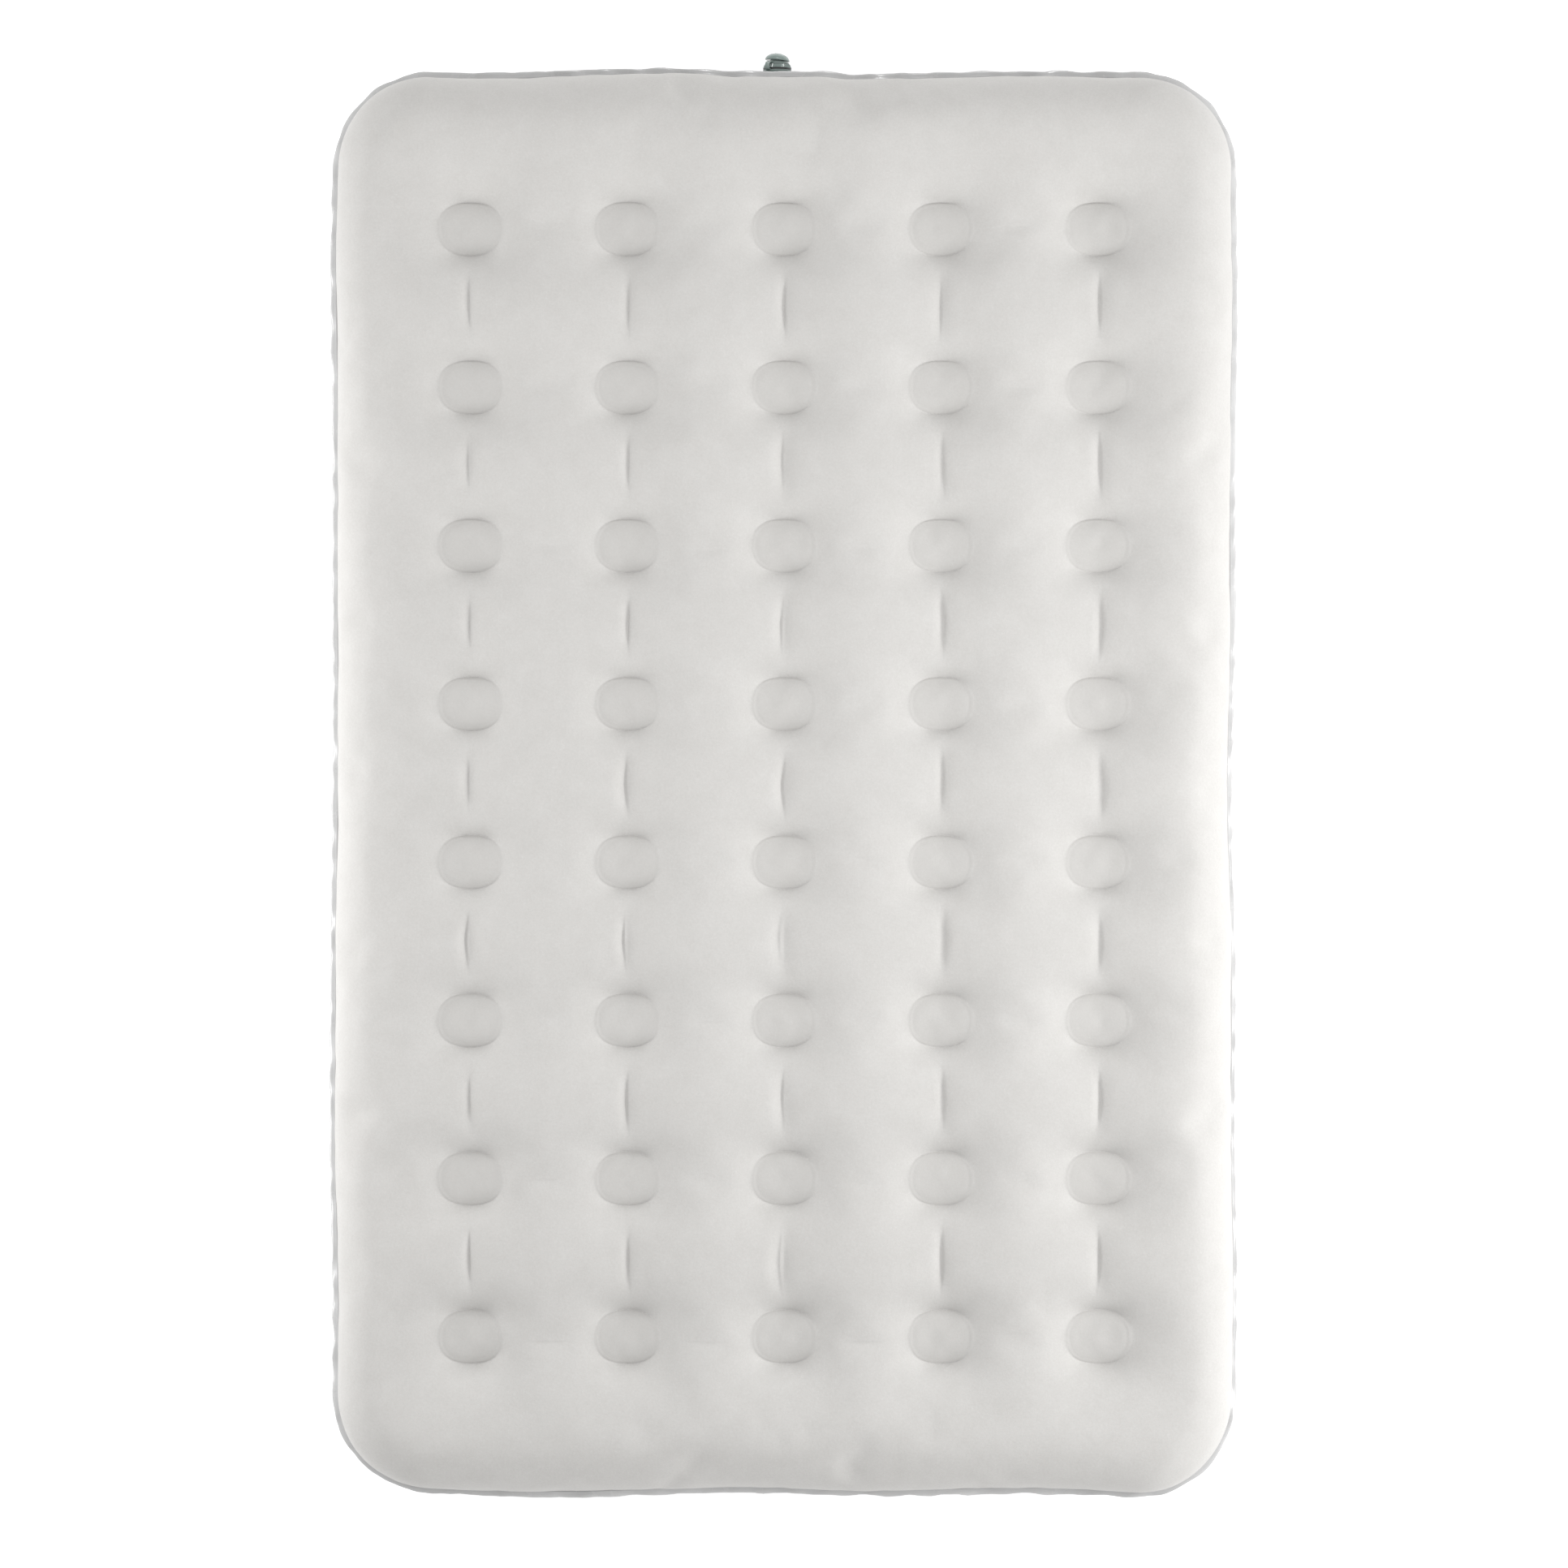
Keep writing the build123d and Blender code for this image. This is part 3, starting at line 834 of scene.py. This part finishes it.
def flocked_sheet():
    """Short suede-like flock: mottled pile, stray specks, rubbed patches, and painted shade on the dished
    islands and beside the seam, where the flock is also welded flat.
    """
    s = Shader("flocked_sheet")
    mottle = s.ramp(s.noise(30, 6, 0.62), [(0.30, tone(0.540, 0.020)), (0.70, tone(0.586, 0.016))])
    pile = s.ramp(s.noise(330, 4, 0.75), [(0.30, tone(0.500, 0.022)), (0.70, tone(0.625, 0.016))])
    base = s.mix(0.42, mottle, pile)
    rubbed = s.spread(s.noise(5.5, 4, 0.65, 0.6), -0.04, 0.09)
    base = s.mix(rubbed, base, tone(0.47, 0.026))
    specks = s.ramp(s.noise(520, 1, 0.4), [(0.70, (0, 0, 0)), (0.78, (1, 1, 1))])
    base = s.mix(s.times(specks, 0.35), base, tone(0.70, 0.0))
    # painted shade: the base colour turns darker on the recessed islands and along the seam, where the flock
    # is also welded flat
    pressed_and_painted_shade = s.attribute("pressed_and_painted_shade")
    s.join(s.mix(s.times(pressed_and_painted_shade, 0.30), base, tone(0.475, 0.022)), s.surface.inputs["Base Color"])
    s.join(s.spread(s.noise(60, 3), 0.84, 0.97), s.surface.inputs["Roughness"])
    s.set(Sheen_Weight=0.16, Sheen_Roughness=0.45, Specular_IOR_Level=0.22)
    fibres = s.bump(s.noise(1700, 2, 0.7), 0.25, 0.0003)
    clumps = s.bump(s.noise(300, 4, 0.7), 0.30, 0.0006, fibres)
    s.join(s.bump(s.noise(45, 3, 0.6), 0.25, 0.0012, clumps), s.surface.inputs["Normal"])
    return s.material


def smooth_pvc(name, dark, light, roughness, coat=0.0):
    """Calendered PVC sheet: slight cloud in its colour, fine grain, soft gloss."""
    s = Shader(name)
    s.join(s.ramp(s.noise(14, 4), [(0.3, dark), (0.7, light)]), s.surface.inputs["Base Color"])
    s.join(s.spread(s.noise(55, 4), roughness - 0.06, roughness + 0.08), s.surface.inputs["Roughness"])
    s.set(Coat_Weight=coat, Coat_Roughness=0.18)
    grain = s.bump(s.noise(900, 2), 0.10, 0.0003)
    s.join(s.bump(s.noise(26, 3), 0.18, 0.002, grain), s.surface.inputs["Normal"])
    return s.material


def moulded_plastic(name, dark, light, roughness):
    """Moulded plastic: nearly even colour with faint flow marks, a worn gloss and fine scuffs."""
    s = Shader(name)
    s.join(s.ramp(s.noise(90, 5, 0.6, 0.5), [(0.15, dark), (0.85, light)]), s.surface.inputs["Base Color"])
    s.join(s.spread(s.noise(260, 4, 0.7), roughness - 0.08, roughness + 0.12), s.surface.inputs["Roughness"])
    s.set(Coat_Weight=0.45, Coat_Roughness=0.06)
    texture = s.bump(s.noise(2600, 2), 0.10, 0.0001)
    s.join(s.bump(s.noise(130, 3), 0.10, 0.0006, texture), s.surface.inputs["Normal"])
    return s.material


def paint(piece, material):
    """Makes a material the piece's only one."""
    piece.data.materials.clear()
    piece.data.materials.append(material)


def repaint(node, material):
    """Gives a CAD node a better material in each of its slots."""
    for slot in NODES[node].material_slots:
        slot.material = material


# ---- put the mattress together ----
FLOCK = flocked_sheet()
WALL_PVC = smooth_pvc("wall_pvc_sheet", tone(0.40, 0.008), tone(0.46, 0.008), 0.42)
BASE_PVC = smooth_pvc("base_pvc_sheet", tone(0.36, 0.008), tone(0.42, 0.008), 0.50)
FIN_PVC = smooth_pvc("weld_pvc_strip", tone(0.51), tone(0.60), 0.25, 0.6)
COIL_PVC = smooth_pvc("coil_pvc_sheet", tone(0.50), tone(0.56), 0.45)
VALVE_HARD = moulded_plastic("valve_hard_plastic", (0.160, 0.205, 0.190), (0.185, 0.235, 0.220), 0.28)
VALVE_SOFT = moulded_plastic("valve_soft_plastic_skin", (0.200, 0.255, 0.238), (0.235, 0.295, 0.276), 0.26)
SEAL_RUBBER = moulded_plastic("black_seal_rubber", (0.02, 0.02, 0.02), (0.035, 0.035, 0.035), 0.6)
SILICONE = moulded_plastic("clear_grey_silicone", (0.50, 0.52, 0.51), (0.58, 0.60, 0.58), 0.4)

SLEEPING_SURFACE = top_sheet()
FLOOR_SIDE = base_sheet()
WALL_BAND = side_wall()
UPPER_FIN = weld_fin("upper_fin", middle_of("upper_weld_seam")[2], FIN_REACH, UPPER_FIN_SEED)
LOWER_FIN = weld_fin("lower_fin", middle_of("lower_weld_seam")[2], LOWER_FIN_REACH, LOWER_FIN_SEED)
SKIN_PIECES = [
    (SLEEPING_SURFACE, FLOCK, "flocked_pvc", "top_sheet"),
    (FLOOR_SIDE, BASE_PVC, "bottom_pvc", "bottom_sheet"),
    (WALL_BAND, WALL_PVC, "wall_pvc", "side_wall"),
    (UPPER_FIN, FIN_PVC, "weld_pvc", "upper_weld_seam"),
    (LOWER_FIN, FIN_PVC, "weld_pvc", "lower_weld_seam"),
]
for piece, material, slot, replaced in SKIN_PIECES:
    paint(piece, material)
    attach(piece, "mattress")
    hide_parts(replaced)

STRAP = tether_strap()
paint(STRAP, VALVE_SOFT)
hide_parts("tether_strap")

COIL_TUBES = [node for node in NODES if node.startswith("coil_tube")]
CAD_LOOKS = [
    (COIL_PVC, COIL_TUBES + ["valve_patch", "wall_join_tape"]),
    (VALVE_HARD, ["valve_neck", "valve_insert"]),
    (VALVE_SOFT, ["valve_cap", "tether_ring", "tether_eye"]),
    (SEAL_RUBBER, ["insert_gasket", "cap_seal"]),
    (SILICONE, ["check_flap"]),
]
for material, nodes in CAD_LOOKS:
    for node in nodes:
        repaint(node, material)


# ---- studio ----
FLOOR_REACH = 14
WORLD_STRENGTH = 0.69
# name, place, the point it faces, width, height, power in watts
LIGHTS = [
    ("right_wall", (3.0, -0.6, 1.42), (0, 0, 0.1), 1.4, 0.8, 63),
    ("left_low", (-1.6, 0, 0.5), (0, 0, 0.1), 1.6, 0.3, 11),
    ("head_wall", (0.1, 2.4, 1.4), (0, 0, 0.1), 0.40, 0.30, 7.0),
    ("overhead", (0.4, 0, 2.0), (0.3, 0, 0.1), 0.3, 0.3, 5.5),
    ("near_overhead", (0.3, 0, 0.95), (0.3, 0, 0.1), 0.3, 1.3, 0.7),
]
CAMERA_HEIGHT = 7.0
CAMERA_Y = -0.0014
SEEN_WIDTH = 2.078  # width of the picture at the upper fin, in metres


def studio_floor():
    """Bright white floor under the mattress, left out of the exported part."""
    mesh = bpy.data.meshes.new("studio_floor")
    corners = [(-1, -1), (1, -1), (1, 1), (-1, 1)]
    mesh.from_pydata([(FLOOR_REACH * x, FLOOR_REACH * y, 0) for x, y in corners], [], [(0, 1, 2, 3)])
    floor = bpy.data.objects.new("studio_floor", mesh)
    bpy.context.scene.collection.objects.link(floor)
    s = Shader("white_floor")
    s.set(Base_Color=(0.93, 0.93, 0.93, 1), Roughness=0.9)
    s.set(Emission_Color=(1, 1, 1, 1), Emission_Strength=0.42)
    paint(floor, s.material)


def soft_light(name, place, aim, width, height, power):
    """Rectangular area light that the camera doesn't see."""
    light = bpy.data.lights.new(name, "AREA")
    light.shape = "RECTANGLE"
    light.size = width
    light.size_y = height
    light.energy = power
    holder = bpy.data.objects.new(name, light)
    holder.location = place
    direction = np.array(aim, float) - np.array(place, float)
    holder.rotation_euler = Vector(direction).to_track_quat("-Z", "Y").to_euler()
    holder.visible_camera = False
    bpy.context.scene.collection.objects.link(holder)


def studio():
    studio_floor()
    world = bpy.data.worlds.new("studio_air")
    bpy.context.scene.world = world
    world.use_nodes = True
    background = world.node_tree.nodes["Background"]
    background.inputs["Color"].default_value = (1, 1, 1, 1)
    background.inputs["Strength"].default_value = WORLD_STRENGTH
    for light in LIGHTS:
        soft_light(*light)


def camera():
    """Straight down from high above, so that only the top, its fin and the valve's end show."""
    data = bpy.data.cameras.new("overhead_camera")
    data.sensor_width = 36
    data.lens = data.sensor_width * (CAMERA_HEIGHT - FIN_HIGH[2]) / SEEN_WIDTH
    data.clip_end = 100
    holder = bpy.data.objects.new("overhead_camera", data)
    holder.location = (0, CAMERA_Y, CAMERA_HEIGHT)
    holder.rotation_euler = (0, 0, 0)
    bpy.context.scene.collection.objects.link(holder)
    bpy.context.scene.camera = holder


studio()
camera()
bpy.context.scene.view_settings.view_transform = "Standard"
